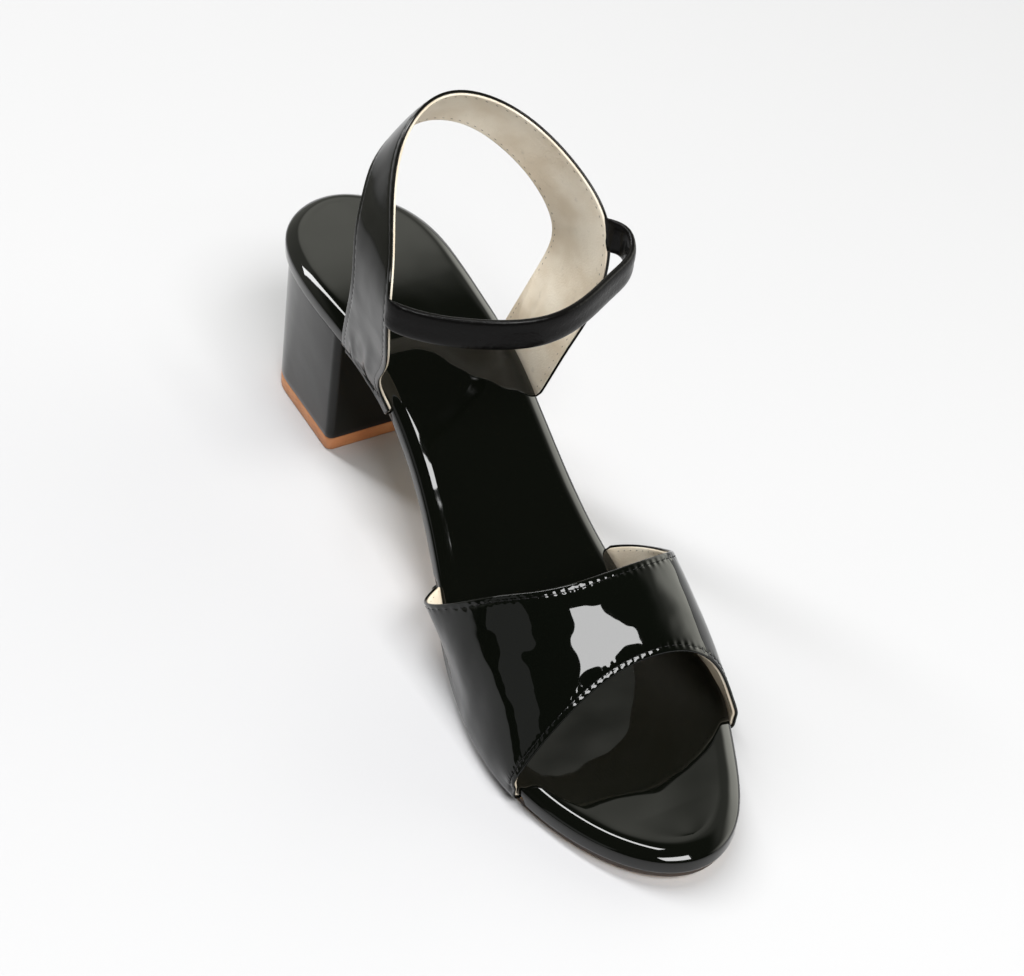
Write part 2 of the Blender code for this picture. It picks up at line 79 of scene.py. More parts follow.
OUTLINE = np.array([  # station, inner and outer half width in ball_half_width
    (0.015, 0.305, 0.290), (0.050, 0.520, 0.510), (0.120, 0.655, 0.650), (0.240, 0.630, 0.655),
    (0.360, 0.515, 0.700), (0.480, 0.555, 0.735), (0.600, 0.745, 0.835), (0.700, 0.910, 0.975),
    (0.780, 0.955, 0.990), (0.860, 0.870, 0.795), (0.930, 0.680, 0.550), (0.975, 0.450, 0.315)])
toe_tip_shift = -0.065

PROFILE = np.array([  # station, rise from tread to seat
    (0.00, 1.012), (0.06, 1.004), (0.14, 1.000), (0.20, 0.982), (0.27, 0.923), (0.34, 0.800),
    (0.41, 0.605), (0.48, 0.398), (0.54, 0.228), (0.60, 0.085), (0.64, 0.018),
    (tread_rear_station, 0.0), (tread_front_station, 0.0), (1.00, 0.0)])
print("footbed in the frame, mm", np.round((footbed_high - footbed_low) * 1000, 1).tolist())

# %% [markdown]
# ## Smooth curves through a short table
#
# A curve for patent leather has to be smooth in its bend as well as in its direction, or the highlight
# kinks. A cubic spline does that: one small linear system gives the second derivative at every row of the
# table. The long profile is different, because its tread has to stay dead level, so it uses the kind of
# slope that never overshoots, and is then averaged over a few millimetres.

# %% Spline, outline and profile
def spline(knots, values, at):
    """Cubic with a continuous bend: on each span the straight line between the two values, plus
    (a^3 - a) and (b^3 - b) times the second derivatives at its ends, times the span squared over 6."""
    count, table = len(knots), values.reshape(len(knots), -1)
    span = np.diff(knots)
    inner = np.arange(1, count - 1)
    system = np.eye(count)
    system[inner, inner - 1] = span[:-1]
    system[inner, inner] = 2 * (span[:-1] + span[1:])
    system[inner, inner + 1] = span[1:]
    right = np.zeros_like(table)
    right[1:-1] = 6 * np.diff(np.diff(table, axis=0) / span[:, None], axis=0)
    bend = np.linalg.solve(system, right)
    start = np.clip(np.searchsorted(knots, at, side="right") - 1, 0, count - 2)
    width = span[start][:, None]
    a = (knots[start + 1] - at)[:, None] / width
    b = 1 - a
    line = a * table[start] + b * table[start + 1]
    curve = ((a ** 3 - a) * bend[start] + (b ** 3 - b) * bend[start + 1]) * width ** 2 / 6
    return (line + curve).reshape(len(at), *values.shape[1:])


def level_curve(knots, values, at):
    """Cubic whose slope at a row is the harmonic mean of its two neighbours' slopes, or 0 at a turn."""
    steps = np.diff(values) / np.diff(knots)
    product, total = steps[:-1] * steps[1:], steps[:-1] + steps[1:]
    middle = np.where(product > 0, 2 * product / np.where(product > 0, total, 1), 0)
    slopes = np.concatenate([[steps[0]], middle, [0]])
    start = np.clip(np.searchsorted(knots, at, side="right") - 1, 0, len(knots) - 2)
    width = knots[start + 1] - knots[start]
    t = (at - knots[start]) / width
    near = (1 + 2 * t) * (1 - t) ** 2 * values[start] + t * (1 - t) ** 2 * width * slopes[start]
    far = t ** 2 * (3 - 2 * t) * values[start + 1] - t ** 2 * (1 - t) * width * slopes[start + 1]
    return near + far


def soften(values, reach):
    """Weighted mean of each row with its neighbours out to reach, with weights of a raised cosine."""
    weights = 1 + np.cos(np.linspace(-math.pi, math.pi, 2 * reach + 3)[1:-1])
    weights /= weights.sum()
    table = values.reshape(len(values), -1)
    padded = np.concatenate([2 * table[:1] - table[reach:0:-1], table,
                             2 * table[-1:] - table[-2:-reach - 2:-1]])
    mean = np.stack([np.convolve(column, weights, mode="valid") for column in padded.T], axis=1)
    return mean.reshape(values.shape)


dense_stations = np.linspace(-0.04, 1.04, 1081)
rise = level_curve(PROFILE[:, 0], PROFILE[:, 1], np.clip(dense_stations, 0, 1))
beyond = np.clip((dense_stations - tread_front_station) / (1 - tread_front_station), 0, None)
dense_tops = tread_top + (seat_height - tread_top) * soften(rise, 14) + toe_spring * beyond ** 2

outline_angles = np.arccos(1 - 2 * OUTLINE[:, 0])
outline_knots = np.concatenate([[0], outline_angles, [math.pi], 2 * math.pi - outline_angles[::-1]])
outline_across = np.concatenate([[0], OUTLINE[:, 2], [toe_tip_shift], -OUTLINE[::-1, 1]])
outline_knots = np.concatenate([outline_knots[-6:] - 2 * math.pi, outline_knots,
                                outline_knots[:6] + 2 * math.pi])
outline_across = np.concatenate([outline_across[-6:], outline_across, outline_across[:6]])


def top_height(station):
    """Height of the footbed's top at a station."""
    return np.interp(station, dense_stations, dense_tops)


def outline_point(angle):
    """Plan point on the outline: across from the spline, along from the cosine of the angle."""
    flat = np.ravel(angle)
    across = spline(outline_knots, outline_across * ball_half_width, flat)
    along = heel_back - footbed_length * (1 - np.cos(flat)) / 2
    return np.stack([across, along], axis=-1).reshape(*np.shape(angle), 2)


def outline_inward(angle):
    """Unit plan normal into the footbed: the outline's direction turned a quarter."""
    run = outline_point(angle + 0.01) - outline_point(angle - 0.01)
    inward = np.stack([run[..., 1], -run[..., 0]], axis=-1)
    return inward / np.linalg.norm(inward, axis=-1, keepdims=True)


def place(plan, depth):
    """Point at a depth below the footbed's top, square to its long section."""
    station = (heel_back - plan[..., 1]) / footbed_length
    fall = (top_height(station + 0.002) - top_height(station - 0.002)) / (0.004 * footbed_length)
    size = np.sqrt(1 + fall ** 2)
    return np.stack([plan[..., 0], plan[..., 1] - depth * fall / size,
                     top_height(station) - depth / size], axis=-1)


def side_angle(side, station):
    """Outline angle at a station on the inner or outer side."""
    angle = np.arccos(1 - 2 * np.asarray(station))
    return angle if side == "outer" else 2 * math.pi - angle


print("seat and tread heights, mm", np.round(top_height(np.array([0.1, 0.7])) * 1000, 2).tolist())

# %% [markdown]
# ## From arrays to mesh
#
# Every piece below ends as rows of points. Two rules of joining cover them all: rings stacked on each other
# with a cap at both ends, for soles and heel, and a closed section carried along a path, for straps.

# %% Mesh builders
def make_piece(name, points, quads, triangles=()):
    """Mesh object from an array of points and arrays of corner numbers, shaded smooth."""
    faces = np.asarray(quads).reshape(-1, 4).tolist()
    faces += np.asarray(triangles, dtype=int).reshape(-1, 3).tolist()
    mesh = bpy.data.meshes.new(name)
    mesh.from_pydata(points.reshape(-1, 3).tolist(), [], faces)
    mesh.update()
    mesh.shade_smooth()
    piece = bpy.data.objects.new(name, mesh)
    bpy.context.scene.collection.objects.link(piece)
    print(name, len(mesh.vertices), "points", len(mesh.polygons), "faces")
    return piece


def face_outwards(piece):
    """Turns the whole piece round if its enclosed volume comes out negative."""
    mesh = piece.data
    mesh.calc_loop_triangles()
    points = np.empty(len(mesh.vertices) * 3, np.float32)
    mesh.vertices.foreach_get("co", points)
    corners = np.empty(len(mesh.loop_triangles) * 3, np.int32)
    mesh.loop_triangles.foreach_get("vertices", corners)
    a, b, c = np.moveaxis(points.reshape(-1, 3)[corners.reshape(-1, 3)].astype(float), 1, 0)
    if (a * np.cross(b, c)).sum() < 0:
        mesh.flip_normals()
    return piece


def grid_quads(numbers, closed):
    """Quads between neighbouring rows of a table of point numbers, closed round if asked."""
    across = np.roll(numbers, -1, axis=1) if closed else numbers[:, 1:]
    near = numbers if closed else numbers[:, :-1]
    return np.stack([near[:-1], across[:-1], across[1:], near[1:]], axis=-1).reshape(-1, 4)


def fan(tip, row):
    """Triangles from one point to a row of points."""
    return np.stack([np.full(len(row) - 1, tip), row[:-1], row[1:]], axis=-1)


def stacked(name, rings, flat_end, columns, crown):
    """Closed solid of stacked rings. Ring point 0 is one end and points i and N - i face each other.

    Each cap is a grid of straight lines between facing points, lifted by crown times (4 s (1 - s))^2 with
    s the share across. flat_end is how many spans the far end has: 0 closes it at one point.
    """
    rings = np.asarray(rings)
    levels, count = rings.shape[:2]
    half = (count - flat_end) // 2 if flat_end else count // 2 - 1
    numbers = np.arange(levels * count).reshape(levels, count)
    quads, triangles, points = [grid_quads(numbers, True)], [], [rings.reshape(-1, 3)]
    shares = np.arange(1, columns) / columns
    free = levels * count
    for level, height in ((0, 0), (levels - 1, crown)):
        rows = np.arange(1, half + 1 - (flat_end > 0))
        near, far = rings[level][rows][:, None], rings[level][count - rows][:, None]
        wide = np.linalg.norm(near - far, axis=-1, keepdims=True)
        inner = near * (1 - shares[:, None]) + far * shares[:, None]
        lift = height * (4 * shares * (1 - shares)) ** 2
        inner = inner + np.array([0, 0, 1]) * lift[:, None] * np.minimum(1, wide / (0.5 * wide.max()))
        points.append(inner.reshape(-1, 3))
        middle = np.arange(free, free + inner.shape[0] * inner.shape[1]).reshape(inner.shape[:2])
        free += middle.size
        cap = np.concatenate([numbers[level][rows][:, None], middle,
                              numbers[level][count - rows][:, None]], axis=1)
        if flat_end:
            cap = np.concatenate([cap, numbers[level][half:half + flat_end + 1][None]])
        else:
            triangles.append(fan(numbers[level][half + 1], cap[-1][::-1]))
        triangles.append(fan(numbers[level][0], cap[0]))
        quads.append(grid_quads(cap, False))
    piece = make_piece(name, np.concatenate(points), np.concatenate(quads), np.concatenate(triangles))
    tidy_normals(piece)
    return piece


def tidy_normals(piece):
    """Makes neighbouring faces agree, then turns the whole piece outwards."""
    import bmesh
    shell = bmesh.new()
    shell.from_mesh(piece.data)
    bmesh.ops.recalc_face_normals(shell, faces=shell.faces)
    shell.to_mesh(piece.data)
    shell.free()
    return face_outwards(piece)


def carried(name, rows):
    """Closed solid from an array of rows, each a closed section, with a flat face at both ends."""
    count, around = rows.shape[:2]
    numbers = np.arange(count * around).reshape(count, around)
    half = around // 2
    ends = []
    for row in (numbers[0], numbers[-1]):
        ladder = np.stack([row[:half], row[::-1][:half]], axis=1)
        ends.append(grid_quads(ladder, False))
    piece = make_piece(name, rows, np.concatenate([grid_quads(numbers, True), *ends]))
    return tidy_normals(piece)


# %% [markdown]
# ## Finishes as sums
#
# A finish is a small sum over the surface: this much grain, that much wear. Written with Python's own
# operators such a sum stays readable, so one class wraps a socket, and each operator adds the Math node that
# it stands for. Colours never go through Math nodes, which would turn them grey.

# %% Shader helpers
SOCKETS = {"coat": "Coat Weight", "coat_roughness": "Coat Roughness", "gloss": "Specular IOR Level",
           "sheen": "Sheen Weight", "sheen_roughness": "Sheen Roughness", "colour": "Base Color",
           "roughness": "Roughness"}


class Field:
    """A number that varies over the surface: a socket with operators."""

    def __init__(self, board, socket):
        self.board, self.socket = board, socket

    def _maths(self, operation, first, second):
        return self.board.node("ShaderNodeMath", {"operation": operation}, {0: first, 1: second})

    def __add__(self, other):
        return self._maths("ADD", self, other)

    def __radd__(self, other):
        return self._maths("ADD", other, self)

    def __sub__(self, other):
        return self._maths("SUBTRACT", self, other)

    def __rsub__(self, other):
        return self._maths("SUBTRACT", other, self)

    def __mul__(self, other):
        return self._maths("MULTIPLY", self, other)

    def __rmul__(self, other):
        return self._maths("MULTIPLY", other, self)

    def __pow__(self, other):
        return self._maths("POWER", self, other)

    def __lt__(self, other):
        return self._maths("LESS_THAN", self, other)

    def __gt__(self, other):
        return self._maths("GREATER_THAN", self, other)

    def between(self, low, high):
        """0 below low, 1 above high and smooth from one to the other."""
        return self.board.node(
            "ShaderNodeMapRange", {"interpolation_type": "SMOOTHSTEP", "clamp": True},
            {0: self, 1: low, 2: high, 3: 0.0, 4: 1.0})


class Board:
    """A node tree with the coordinates it starts from, and the one method that adds any other node."""

    def __init__(self, tree, coordinates):
        self.tree = tree
        self.position = Field(self, tree.nodes.new("ShaderNodeTexCoord").outputs[coordinates])

    def node(self, kind, settings, sockets, out=0):
        """Adds a node: settings first, then the values or links of its sockets."""
        made = self.tree.nodes.new(kind)
        for name, value in settings.items():
            if name == "stops":
                ramp = made.color_ramp
                ramp.elements[0].position, ramp.elements[0].color = value[0]
                ramp.elements[1].position, ramp.elements[1].color = value[-1]
                for where, colour in value[1:-1]:
                    ramp.elements.new(where).color = colour
            else:
                setattr(made, name, value)
        for name, value in sockets.items():
            if isinstance(value, Field):
                self.tree.links.new(value.socket, made.inputs[name])
            else:
                made.inputs[name].default_value = value
        return Field(self, made.outputs[out])

    def noise(self, scale, detail=2.0, roughness=0.5, stretch=(1, 1, 1), out=0):
        """Soft noise on the piece's own coordinates, about 1 / scale metres from crest to crest."""
        where = self.node("ShaderNodeMapping", {}, {"Vector": self.position, "Scale": stretch})
        return self.node("ShaderNodeTexNoise", {}, {
            "Vector": where, "Scale": scale, "Detail": detail, "Roughness": roughness}, out)

    def mix(self, share, first, second):
        """Colour between two colours."""
        return self.node("ShaderNodeMix", {"data_type": "RGBA"}, {0: share, 6: first, 7: second}, 2)



class Finish(Board):
    """A material and its Principled shader."""

    def __init__(self, name, colour, roughness, **uniform):
        self.material = bpy.data.materials.new(name)
        self.material.use_nodes = True
        self.material.diffuse_color = (*colour, 1)
        super().__init__(self.material.node_tree, "Object")
        self.shader = self.tree.nodes["Principled BSDF"]
        self.shader.inputs["Base Color"].default_value = (*colour, 1)
        self.shader.inputs["Roughness"].default_value = roughness
        for socket, value in uniform.items():
            self.shader.inputs[SOCKETS[socket]].default_value = value

    def set(self, **varying):
        """Links varying values to the shader's own sockets."""
        for name, value in varying.items():
            self.tree.links.new(value.socket, self.shader.inputs[SOCKETS[name]])
        return self

    def relief(self, height, depth, strength=1.0):
        """Bump from a height of 0 to 1 that stands for depth in metres."""
        normal = self.node("ShaderNodeBump", {}, {
            "Height": height, "Distance": depth, "Strength": strength})
        self.tree.links.new(normal.socket, self.shader.inputs["Normal"])
        return self


# %% [markdown]
# ## Black patent leather
#
# Patent is leather under a thick film of clear lacquer. The film carries the reflections, nearly as sharp as
# glass, and it follows the leather's slow swells, so they wander a little. The black below only shows where
# nothing is reflected. One very smooth, glossy surface over a dark body gives both, and a very shallow bump
# moves the reflections.

# %% Patent, lining, thread and strap finishes
def patent(name, colour, gloss, roughness, swell, dimple):
    """Lacquered black: very smooth over a dark body, swells about 10 mm apart and dimples about 4 mm apart."""
    finish = Finish(name, colour, roughness, gloss=gloss)
    swells = finish.noise(90, 0.0)
    dimples = finish.noise(230, 0.0)
    scuffs = finish.noise(34, 4.0, 0.62).between(0.60, 0.82)
    finish.set(roughness=roughness + 0.03 * scuffs)
    finish.relief(swells * swell + dimples * dimple, 0.001)
    return finish.material


vamp_patent = patent("vamp_patent", (0.0018, 0.0023, 0.0015), 0.32, 0.03, 0.72, 0.07)
footbed_patent = patent("footbed_patent", (0.0021, 0.0025, 0.0017), 0.38, 0.035, 0.15, 0.01)
heel_patent = patent("heel_patent", (0.0026, 0.0028, 0.0014), 0.22, 0.09, 0.10, 0.02)
back_strap_patent = patent("back_strap_patent", (0.0028, 0.0029, 0.0020), 0.25, 0.15, 0.36, 0.05)


def lining_finish():
    """Beige lining: fine pressed grain, faint clouds of colour and rubbed grey spots."""
    finish = Finish("beige_lining", (0.60, 0.53, 0.42), 0.5)
    clouds = finish.noise(70, 3.0).between(0.30, 0.72)
    spots = finish.noise(230, 3.0, 0.6).between(0.62, 0.74)
    body = finish.mix(clouds, (0.690, 0.588, 0.450, 1), (0.830, 0.756, 0.630, 1))
    colour = finish.mix(spots * 0.22, body, (0.36, 0.32, 0.26, 1))
    grain = finish.noise(1500, 3.0, 0.6)
    finish.set(colour=colour, roughness=0.46 + 0.16 * clouds)
    finish.relief(grain, 0.00022, 0.8)
    return finish.material


def cord_black(name, colour, roughness, scale):
    """Satin black strap or thread: fine fibres and a slight change of gloss."""
    finish = Finish(name, colour, roughness, gloss=0.11, sheen=0.01, sheen_roughness=0.4)
    fibres = finish.noise(scale, 3.0, 0.55)
    finish.set(roughness=roughness - 0.08 + 0.16 * fibres)
    finish.relief(fibres, 0.00015, 0.7)
    return finish.material


beige_lining = lining_finish()
satin_black = cord_black("satin_black_strap", (0.0030, 0.0028, 0.0027), 0.24, 900)
black_thread = cord_black("black_thread", (0.006, 0.006, 0.006), 0.38, 2400)
seam_thread = cord_black("lining_thread", (0.150, 0.130, 0.105), 0.55, 2400)
print("black and beige finishes ready")

# %% [markdown]
# ## Tan sole sheet and top piece
#
# The outsole is cut from a tan sheet that is embossed with thin random veins, like the cracks of a dried
# clay floor, with a patch of fine leather grain in some of the fields. A Voronoi texture gives the veins as
# the distance to the nearest cell edge, and the colour of each cell decides how much grain it gets.

# %% Tan finishes
def sole_sheet():
    """Tan sheet: veins about 1 mm wide round cells of some 30 mm, grained cells and a darker waist."""
    finish = Finish("tan_sole_sheet", (0.62, 0.36, 0.135), 0.42)
    stray = finish.node("ShaderNodeVectorMath", {"operation": "SCALE"}, {
        0: finish.noise(26, 2.0, out=1), "Scale": 0.012})
    where = finish.node("ShaderNodeVectorMath", {"operation": "ADD"}, {0: finish.position, 1: stray})
    edge = finish.node("ShaderNodeTexVoronoi", {"feature": "DISTANCE_TO_EDGE"}, {
        "Vector": where, "Scale": 30.0})
    cell = finish.node("ShaderNodeTexVoronoi", {"feature": "F1"}, {
        "Vector": where, "Scale": 30.0}, 1)
    pick = finish.node("ShaderNodeSeparateColor", {}, {0: cell})
    vein = edge.between(0.006, 0.026)
    grained = pick.between(0.35, 0.60)
    grain = finish.noise(900, 3.0, 0.62, (1, 0.55, 1))
    blotch = finish.noise(48, 4.0, 0.6).between(0.30, 0.72)
    along = finish.node("ShaderNodeSeparateXYZ", {}, {0: finish.position}, 2)
    waist = along.between(0.008, 0.045)
    light = finish.mix(blotch, (0.560, 0.300, 0.098, 1), (0.690, 0.425, 0.180, 1))
    worn = finish.mix(waist * 0.65, light, (0.400, 0.170, 0.045, 1))
    colour = finish.mix((1 - vein) * 0.45, worn, (0.330, 0.150, 0.045, 1))
    finish.set(colour=colour, roughness=0.34 + 0.22 * blotch)
    finish.relief(vein * 0.7 + grain * grained * 0.35, 0.0006, 0.8)
    return finish.material


def top_piece_rubber():
    """Tan top piece: fine pits and faint streaks."""
    finish = Finish("tan_top_piece", (0.56, 0.225, 0.085), 0.5)
    cloud = finish.noise(95, 3.0).between(0.25, 0.75)
    pits = finish.noise(1300, 2.0, 0.6)
    finish.set(colour=finish.mix(cloud, (0.500, 0.185, 0.066, 1), (0.640, 0.285, 0.120, 1)),
               roughness=0.44 + 0.14 * pits)
    finish.relief(pits, 0.00025, 0.6)
    return finish.material


def sole_edge_painted_shade():
    """Dark brown painted shade on the sole's cut edge, under the footbed: brushed along it, a bit uneven."""
    finish = Finish("painted_shade_sole_edge", (0.030, 0.018, 0.010), 0.45)
    brushed = finish.noise(420, 3.0, 0.6, (1, 1, 5))
    finish.set(colour=finish.mix(brushed, (0.018, 0.011, 0.007, 1), (0.050, 0.028, 0.015, 1)),
               roughness=0.36 + 0.2 * brushed)
    finish.relief(brushed, 0.0002, 0.6)
    return finish.material


tan_sole_sheet = sole_sheet()
painted_shade_sole_edge = sole_edge_painted_shade()
tan_top_piece = top_piece_rubber()
print("tan finishes ready")

# %% [markdown]
# ## The camera and the studio
#
# The photograph looks down at the sandal from in front of its inner side, 43 degrees above the floor and
# rolled by 3 degrees. The camera stands where the photographer's stood, and is only turned until the one
# shoe is in the middle. It is made early, so that each new piece can be looked at as it comes.

# %% Camera
def standing(where, right, up, behind):
    """World matrix of an object at a place, with three unit directions for its own axes."""
    turned = np.eye(4)
    turned[:3] = np.stack([right, up, behind, where], axis=1)
    return Matrix(turned.tolist())


photo_width = 1024
camera_place = np.array([-0.25139, -0.47134 + heel_back, 0.44895])
azimuth, elevation, roll = (math.radians(angle) for angle in (-27.51, 42.97, 2.83))
focal_pixels, principal_pixel, shoe_pixel = 2000.0, np.array([512.0, 488.0]), np.array([727.0, 526.0])

back = np.array([math.sin(azimuth) * math.cos(elevation), -math.cos(azimuth) * math.cos(elevation),
                 math.sin(elevation)])
level_right = np.array([math.cos(azimuth), math.sin(azimuth), 0.0])
level_up = np.cross(back, level_right)
photo_right = level_right * math.cos(roll) + level_up * math.sin(roll)
photo_up = -level_right * math.sin(roll) + level_up * math.cos(roll)
off = (shoe_pixel - principal_pixel) / focal_pixels
view_back = back - photo_right * off[0] + photo_up * off[1]
view_back /= np.linalg.norm(view_back)
view_right = photo_right - view_back * (photo_right @ view_back)
view_right /= np.linalg.norm(view_right)
view_up = np.cross(view_back, view_right)

camera_data = bpy.data.cameras.new("photo_camera")
camera_data.sensor_width = 36.0
camera_data.lens = focal_pixels / photo_width * camera_data.sensor_width
camera_data.clip_start = 0.01
camera = bpy.data.objects.new("photo_camera", camera_data)
camera.matrix_world = standing(camera_place, view_right, view_up, view_back)
bpy.context.scene.collection.objects.link(camera)
bpy.context.scene.camera = camera
print("lens", round(camera_data.lens, 1), "mm")

# %% [markdown]
# A mirror shows its surroundings, so black patent is lit by what it reflects: a pale wall low behind the
# shoe, darkness above it, and one large soft box overhead that lands on the crest of the front strap. The
# floor is pale and matt, and its light comes up into the sides of the heel and straps.

# %% Floor, soft boxes and surroundings
def soft_box(name, where, aim, size, power, colour=(1, 1, 1)):
    """Square area light at a place, turned to a point."""
    data = bpy.data.lights.new(name, "AREA")
    data.shape, data.size, data.size_y = "RECTANGLE", size[0], size[1]
    data.energy, data.color = power, colour
    box = bpy.data.objects.new(name, data)
    to = np.array(where, dtype=float) - np.array(aim, dtype=float)
    to /= np.linalg.norm(to)
    side = np.cross([0, 0, 1.0], to) if abs(to[2]) < 0.99 else np.array([1.0, 0, 0])
    side /= np.linalg.norm(side)
    box.matrix_world = standing(where, side, np.cross(to, side), to)
    bpy.context.scene.collection.objects.link(box)
    return box


soft_box("overhead_box", (-0.150, -1.411, 1.874), (0.0, -0.19, 0.05), (1.06, 0.84), 55.0)
soft_box("strip_box", (-0.44, 0.78, 1.99), (0.0, -0.10, 0.03), (0.30, 2.50), 52.0)
soft_box("side_box", (-1.46, -0.34, 0.64), (0.0, -0.18, 0.03), (0.78, 0.72), 0.80)

floor_size = 6.0
floor_points = np.array([(x, y, 0.0) for x in (-1, 1) for y in (-1, 1)]) * floor_size
studio_floor = make_piece("studio_floor", floor_points, np.array([[0, 2, 3, 1]]))
floor_finish = Finish("floor_paper", (0.490, 0.490, 0.500), 0.9)
paper = floor_finish.noise(900, 2.0)
floor_finish.set(roughness=0.82 + 0.14 * paper)
studio_floor.data.materials.append(floor_finish.material)

world = bpy.data.worlds.new("studio")
world.use_nodes = True
bpy.context.scene.world = world
surround = Board(world.node_tree, "Generated")
upward = surround.node("ShaderNodeSeparateXYZ", {}, {0: surround.position}, 2)
toward = [surround.node("ShaderNodeVectorMath", {"operation": "DOT_PRODUCT"}, {
    0: surround.position, 1: heading}, 1) for heading in ((0.50, 0.86, 0.0), (0.97, -0.02, 0.24), (0.28, 0.71, 0.645))]
behind, window, lamp = toward
wall = 0.44 * (1 - (upward - 0.18 * behind).between(0.60, 0.78)) * behind.between(-0.30, 0.35)
sheen = 1.0 * lamp.between(0.95, 0.998)
glow = 3.0 * window.between(0.60, 0.98) * (1 - upward.between(0.32, 0.62))
straight = surround.node("ShaderNodeLightPath", {}, {})
shown = (wall + glow + sheen + 0.03) * (1 - straight) + 0.93 * straight
tint = surround.node("ShaderNodeVectorMath", {"operation": "SCALE"}, {0: (1.0, 1.0, 0.90), "Scale": shown})
world.node_tree.links.new(tint.socket, world.node_tree.nodes["Background"].inputs["Color"])
bpy.context.scene.view_settings.view_transform = "Standard"
print("studio ready")

# %% [markdown]
# ## Footbed
#
# The footbed is an insole board with foam on it, wrapped in one piece of patent. Its edge is a soft roll, and
# inside the roll the cover slopes on up over the padding and turns flat, catching a second thin highlight.
# It is built as rings: each ring is the outline moved inwards by an inset and down by a depth.

# %% Build the footbed
def edge_ring(angle, inset, depth):
    """Ring of points: the outline moved inwards by inset along its normal, and down by depth."""
    plan = outline_point(angle) + outline_inward(angle) * np.reshape(inset, (-1, 1))
    return place(plan, depth)


def seat_share(side, station, seats, ease=0.0015 / 0.243):
    """1 where a strap passes under the edge, 0 elsewhere, with a ramp as long as ease."""
    share = np.zeros_like(station)
    for rear, front in (table[side] for table in seats):
        rise_in = np.clip((station - rear + 2 * ease) / ease, 0, 1)
        share = np.maximum(share, rise_in * np.clip((front + 2 * ease - station) / ease, 0, 1))
    return share


VAMP_SEATS = {"inner": (0.548, 0.822), "outer": (0.568, 0.842)}
ANKLE_SEATS = {"inner": (0.268, 0.362), "outer": (0.297, 0.391)}

rim_angles = np.linspace(0, 2 * math.pi, 721)[:-1]
rim_stations = (1 - np.cos(rim_angles)) / 2
strap_under = np.where(rim_angles < math.pi, seat_share("outer", rim_stations, (VAMP_SEATS, ANKLE_SEATS)),
                       seat_share("inner", rim_stations, (VAMP_SEATS, ANKLE_SEATS)))
low_edge = footbed_thickness - (strap_thickness + gap) * strap_under

turns = np.linspace(math.pi / 2, 0, 4)
under_rings = [(tuck_length + 0.003, footbed_thickness + 0 * low_edge), (tuck_length + 0.0015, low_edge)]
under_rings += [(under_radius * (1 - math.cos(turn)), low_edge - under_radius * (1 - math.sin(turn)))
                for turn in turns]
RIM = np.array([  # run along the cover from the side wall in mm, tilt of the cover in degrees
    (0.0, 90), (0.5, 74), (1.1, 50), (1.8, 37), (3.0, 31), (4.2, 25), (5.0, 17), (5.8, 8), (6.8, 2.5), (8.2, 0)])
rim_run = np.linspace(0, RIM[-1, 0], 330)
rim_tilt = np.radians(soften(np.interp(rim_run, RIM[:, 0], RIM[:, 1]), 16))
rim_inset = np.concatenate([[0], np.cumsum(np.cos(rim_tilt[1:]))]) * rim_run[1] / 1000
rim_rise = np.concatenate([[0], np.cumsum(np.sin(rim_tilt[1:]))]) * rim_run[1] / 1000
chosen = np.unique(np.round(np.linspace(0, 1, 34) ** 1.15 * (len(rim_run) - 1)).astype(int))
rim_rings = list(zip(rim_inset[chosen], (rim_rise[-1] - rim_rise)[chosen]))
print("rim", np.round(rim_rise[-1] * 1000, 2), "mm high and", np.round(rim_inset[-1] * 1000, 2), "mm wide")
footbed_rings = [edge_ring(rim_angles, inset + 0 * low_edge, depth + 0 * low_edge)
                 for inset, depth in under_rings + rim_rings]
footbed = stacked("footbed_cover", footbed_rings, 0, 22, 0.0003)
footbed.data.materials.append(footbed_patent)
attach(footbed, "root")
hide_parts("footbed")

# %% [markdown]
# ## Outsole, heel block and top piece
#
# The outsole follows the footbed's underside at an even distance, from the toe to the breast of the heel.
# The heel is a straight-breasted block: a plan with a round back, small front corners and a flat breast,
# which grows from the floor to the seat. The top piece is the tan slice under it.

# %% Build the outsole
heel_top_length, heel_breast_slope, heel_back_rake = 0.0560, 0.0090, 0.0010
heel_floor_length = heel_top_length - heel_breast_slope - heel_back_rake
outsole_inset, outsole_bevel = 0.0015, 0.0005
breast_station = (heel_back - heel_floor_length / 2 - heel_back_rake + heel_top_length) / footbed_length
sole_top = footbed_thickness + gap
rear_station = breast_station + (gap + sole_top * 0.25) / footbed_length
sole_sweep = np.linspace(math.pi, float(side_angle("outer", rear_station)), 150)
sole_half = np.concatenate([sole_sweep, 2 * math.pi - sole_sweep[:0:-1]])


def sole_ring(inset, depth, columns=12):
    """Ring of the outsole: toe, outer side, straight rear edge, inner side."""
    outer = edge_ring(sole_sweep, inset + 0 * sole_sweep, depth)
    inner = edge_ring(2 * math.pi - sole_sweep[:0:-1], inset + 0 * sole_sweep[1:], depth)
    rear = np.linspace(outer[-1], inner[0], columns + 1)[1:-1]
    return np.concatenate([outer, rear, inner])


sole_low = sole_top + outsole_thickness
sole_rings = [sole_ring(outsole_inset + outsole_bevel * (1 - math.cos(turn)),
                        sole_low - outsole_bevel * (1 - math.sin(turn)))
              for turn in np.linspace(math.pi / 2, 0, 4)]
sole_rings += [sole_ring(outsole_inset, sole_top + 0.0002), sole_ring(outsole_inset + 0.0002, sole_top)]
outsole = stacked("outsole_sheet", sole_rings, 12, 12, 0)
outsole.data.materials.append(tan_sole_sheet)
# The cut edge's side faces get the dark brown finish: painted shade for the edge tucked under the footbed.
outsole.data.materials.append(painted_shade_sole_edge)
face_normals = np.empty(len(outsole.data.polygons) * 3, np.float32)
outsole.data.polygon_normals.foreach_get("vector", face_normals)
on_edge = (np.abs(face_normals.reshape(-1, 3)[:, 2]) < 0.5).astype(np.int32)
outsole.data.polygons.foreach_set("material_index", on_edge)
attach(outsole, "root")
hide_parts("outsole")

